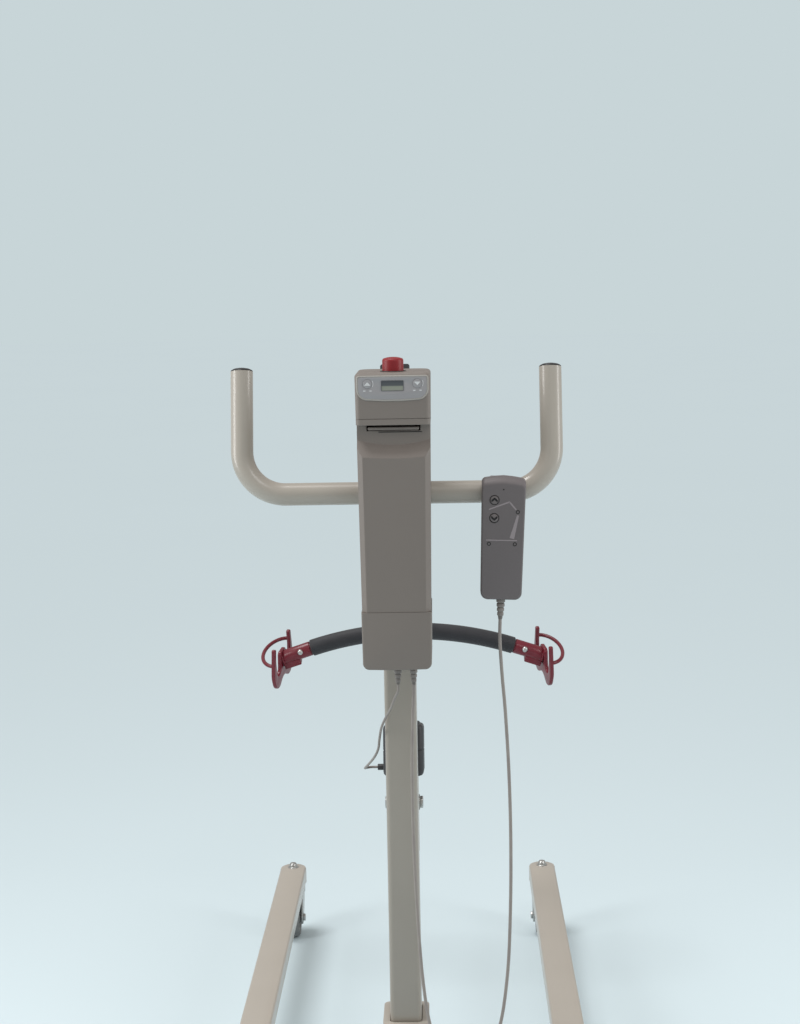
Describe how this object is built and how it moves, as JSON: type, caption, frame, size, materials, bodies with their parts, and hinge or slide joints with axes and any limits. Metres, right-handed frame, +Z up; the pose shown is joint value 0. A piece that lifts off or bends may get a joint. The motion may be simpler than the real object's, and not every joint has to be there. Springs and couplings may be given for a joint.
{
  "type": "electric patient lift",
  "caption": "Mobile patient lift: spreading wheeled base, mast, actuator-raised boom with a swivelling spreader bar, U push handle, battery control box and wired handset.",
  "frame": {"origin": "middle of the footprint on the floor", "axes": "+Z up, +Y forwards to the patient, +X to the caregiver's right"},
  "size_m": [0.5668, 1.2182, 1.1885],
  "materials": {
    "cream_paint": "glossy powder coat",
    "red_paint": "deep red gloss coat",
    "box_plastic": "warm grey moulding",
    "panel_film": "printed film",
    "display_glass": "clear display window",
    "handset_plastic": "dark grey moulding",
    "black_plastic": "black moulding",
    "black_sleeve": "soft black sleeve",
    "stop_red": "red moulding",
    "cable_grey": "grey cable jacket",
    "zinc_steel": "zinc plated",
    "caster_tyre": "grey non-marking tyre"
  },
  "bodies": {
    "frame": {"base_frame": "cream_paint", "mast": "cream_paint", "boom_yoke": "cream_paint", "actuator_bracket": "cream_paint", "push_handle": "cream_paint", "handle_plug_left": "black_plastic", "handle_plug_right": "black_plastic", "controller_housing": "box_plastic", "control_panel": "panel_film", "display_lens": "display_glass", "connector_foot": "box_plastic", "plug_actuator": "cable_grey", "plug_handset": "cable_grey", "actuator_lead": "cable_grey", "handset_cord": "cable_grey", "leg_bolt_left": "zinc_steel", "leg_bolt_right": "zinc_steel", "boom_bolt": "zinc_steel", "actuator_pin": "zinc_steel"},
    "knob": {"mast_knob": "black_plastic"},
    "leg_left": {"leg_left": "cream_paint"},
    "leg_right": {"leg_right": "cream_paint"},
    "link_left": {"link_rod_left": "zinc_steel"},
    "link_right": {"link_rod_right": "zinc_steel"},
    "pedal": {"leg_pedal": "cream_paint"},
    "caster_rear_left": {"fork_rear_left": "zinc_steel"},
    "wheel_rear_left": {"wheel_rear_left": "caster_tyre"},
    "caster_rear_right": {"fork_rear_right": "zinc_steel"},
    "wheel_rear_right": {"wheel_rear_right": "caster_tyre"},
    "caster_front_left": {"fork_front_left": "zinc_steel"},
    "wheel_front_left": {"wheel_front_left": "caster_tyre"},
    "caster_front_right": {"fork_front_right": "zinc_steel"},
    "wheel_front_right": {"wheel_front_right": "caster_tyre"},
    "brake_left": {"brake_pedal_left": "stop_red"},
    "brake_right": {"brake_pedal_right": "stop_red"},
    "boom": {"boom": "cream_paint", "boom_cap": "black_plastic"},
    "ram": {"actuator_motor": "black_plastic", "actuator_tube": "cream_paint"},
    "ram_rod": {"actuator_rod": "zinc_steel"},
    "ring": {"release_ring": "stop_red"},
    "hanger": {"hanger_fork": "cream_paint", "hanger_bolt": "zinc_steel"},
    "spreader": {"spreader_tube": "red_paint", "spreader_cover": "black_sleeve", "hook_left": "red_paint", "hook_right": "red_paint", "spreader_bolt_left": "zinc_steel", "spreader_bolt_right": "zinc_steel"},
    "stop": {"stop_button": "stop_red"},
    "panel_up": {"panel_button_up": "panel_film"},
    "panel_down": {"panel_button_down": "panel_film"},
    "battery": {"battery": "box_plastic"},
    "latch": {"battery_latch": "box_plastic"},
    "handset": {"handset_front": "handset_plastic", "handset_back": "handset_plastic", "handset_relief": "cable_grey"},
    "handset_up": {"handset_button_up": "handset_plastic"},
    "handset_down": {"handset_button_down": "handset_plastic"}
  },
  "joints": [
    {"name": "boom_lift", "type": "hinge", "parent": "frame", "child": "boom", "pos_m": [0, -0.38615, 1.13], "axis": [1, 0, 0], "range_deg": [0, 44]},
    {"name": "ram_pivot", "type": "hinge", "parent": "frame", "child": "ram", "pos_m": [0, -0.33315, 0.54], "axis": [1, 0, 0], "range_deg": [-2.9, 0]},
    {"name": "ram_slide", "type": "slide", "parent": "ram", "child": "ram_rod", "axis": [0, 0.221, 0.9753], "range_m": [0, 0.156]},
    {"name": "release_ring_turn", "type": "hinge", "parent": "ram_rod", "child": "ring", "pos_m": [0, -0.2423, 0.94083], "axis": [0, 0.221, 0.9753], "range_deg": [0, 90]},
    {"name": "hanger_swing", "type": "hinge", "parent": "boom", "child": "hanger", "pos_m": [0, 0.44074, 0.7267], "axis": [1, 0, 0], "range_deg": [-56, 40]},
    {"name": "spreader_swivel", "type": "hinge", "parent": "hanger", "child": "spreader", "pos_m": [0, 0.44074, 0.7267], "axis": [0, -0.2079, 0.9781], "continuous": true},
    {"name": "leg_spread_right", "type": "hinge", "parent": "frame", "child": "leg_right", "pos_m": [0.245, -0.37615, 0.115], "axis": [0, 0, -1], "range_deg": [0, 14]},
    {"name": "leg_spread_left", "type": "hinge", "parent": "frame", "child": "leg_left", "pos_m": [-0.245, -0.37615, 0.115], "axis": [0, 0, 1], "range_deg": [0, 14]},
    {"name": "pedal_rock", "type": "hinge", "parent": "frame", "child": "pedal", "pos_m": [0, -0.42115, 0.075], "axis": [0, 1, 0], "range_deg": [0, 32.4]},
    {"name": "link_turn_left", "type": "hinge", "parent": "leg_left", "child": "link_left", "pos_m": [-0.23525, -0.29675, 0.075], "axis": [0, 0, 1], "range_deg": [-14, 0]},
    {"name": "link_turn_right", "type": "hinge", "parent": "leg_right", "child": "link_right", "pos_m": [0.23525, -0.29675, 0.075], "axis": [0, 0, -1], "range_deg": [-14, 0]},
    {"name": "caster_swivel_rear_left", "type": "hinge", "parent": "frame", "child": "caster_rear_left", "pos_m": [-0.245, -0.49615, 0.12], "axis": [0, 0, 1], "continuous": true},
    {"name": "wheel_spin_rear_left", "type": "hinge", "parent": "caster_rear_left", "child": "wheel_rear_left", "pos_m": [-0.245, -0.53115, 0.05], "axis": [1, 0, 0], "continuous": true},
    {"name": "brake_press_left", "type": "hinge", "parent": "caster_rear_left", "child": "brake_left", "pos_m": [-0.245, -0.57815, 0.078], "axis": [1, 0, 0], "range_deg": [0, 20]},
    {"name": "caster_swivel_front_left", "type": "hinge", "parent": "leg_left", "child": "caster_front_left", "pos_m": [-0.245, 0.58385, 0.095], "axis": [0, 0, 1], "continuous": true},
    {"name": "wheel_spin_front_left", "type": "hinge", "parent": "caster_front_left", "child": "wheel_front_left", "pos_m": [-0.245, 0.55885, 0.0375], "axis": [1, 0, 0], "continuous": true},
    {"name": "caster_swivel_rear_right", "type": "hinge", "parent": "frame", "child": "caster_rear_right", "pos_m": [0.245, -0.49615, 0.12], "axis": [0, 0, 1], "continuous": true},
    {"name": "wheel_spin_rear_right", "type": "hinge", "parent": "caster_rear_right", "child": "wheel_rear_right", "pos_m": [0.245, -0.53115, 0.05], "axis": [1, 0, 0], "continuous": true},
    {"name": "brake_press_right", "type": "hinge", "parent": "caster_rear_right", "child": "brake_right", "pos_m": [0.245, -0.57815, 0.078], "axis": [1, 0, 0], "range_deg": [0, 20]},
    {"name": "caster_swivel_front_right", "type": "hinge", "parent": "leg_right", "child": "caster_front_right", "pos_m": [0.245, 0.58385, 0.095], "axis": [0, 0, 1], "continuous": true},
    {"name": "wheel_spin_front_right", "type": "hinge", "parent": "caster_front_right", "child": "wheel_front_right", "pos_m": [0.245, 0.55885, 0.0375], "axis": [1, 0, 0], "continuous": true},
    {"name": "knob_turn", "type": "hinge", "parent": "frame", "child": "knob", "pos_m": [0, -0.48315, 0.215], "axis": [0, 1, 0], "continuous": true},
    {"name": "stop_press", "type": "slide", "parent": "frame", "child": "stop", "axis": [0, 0, -1], "range_m": [0, 0.003], "stiffness_N_per_m": 900},
    {"name": "panel_up_press", "type": "slide", "parent": "frame", "child": "panel_up", "axis": [0, 1, 0], "range_m": [0, 0.0005], "stiffness_N_per_m": 800},
    {"name": "panel_down_press", "type": "slide", "parent": "frame", "child": "panel_down", "axis": [0, 1, 0], "range_m": [0, 0.0005], "stiffness_N_per_m": 800},
    {"name": "battery_out", "type": "slide", "parent": "frame", "child": "battery", "axis": [0, -1, 0], "range_m": [0, 0.07]},
    {"name": "latch_lift", "type": "hinge", "parent": "battery", "child": "latch", "pos_m": [0, -0.51365, 1.098], "axis": [-1, 0, 0], "range_deg": [0, 4.5], "stiffness_Nm_per_rad": 0.2},
    {"name": "handset_lift", "type": "slide", "parent": "frame", "child": "handset", "axis": [0, 0, 1], "range_m": [0, 0.045]},
    {"name": "handset_up_press", "type": "slide", "parent": "handset", "child": "handset_up", "axis": [0, 1, 0], "range_m": [0, 0.0009], "stiffness_N_per_m": 700},
    {"name": "handset_down_press", "type": "slide", "parent": "handset", "child": "handset_down", "axis": [0, 1, 0], "range_m": [0, 0.0009], "stiffness_N_per_m": 700}
  ],
  "couplings": [
    {"joint": "ram_pivot", "follows": "boom_lift", "ratio": -0.064},
    {"joint": "ram_slide", "follows": "boom_lift", "m_per_rad": 0.202},
    {"joint": "leg_spread_left", "follows": "leg_spread_right", "ratio": 1},
    {"joint": "pedal_rock", "follows": "leg_spread_right", "ratio": 2.3107},
    {"joint": "link_turn_left", "follows": "leg_spread_right", "ratio": -1},
    {"joint": "link_turn_right", "follows": "leg_spread_right", "ratio": -1}
  ]
}
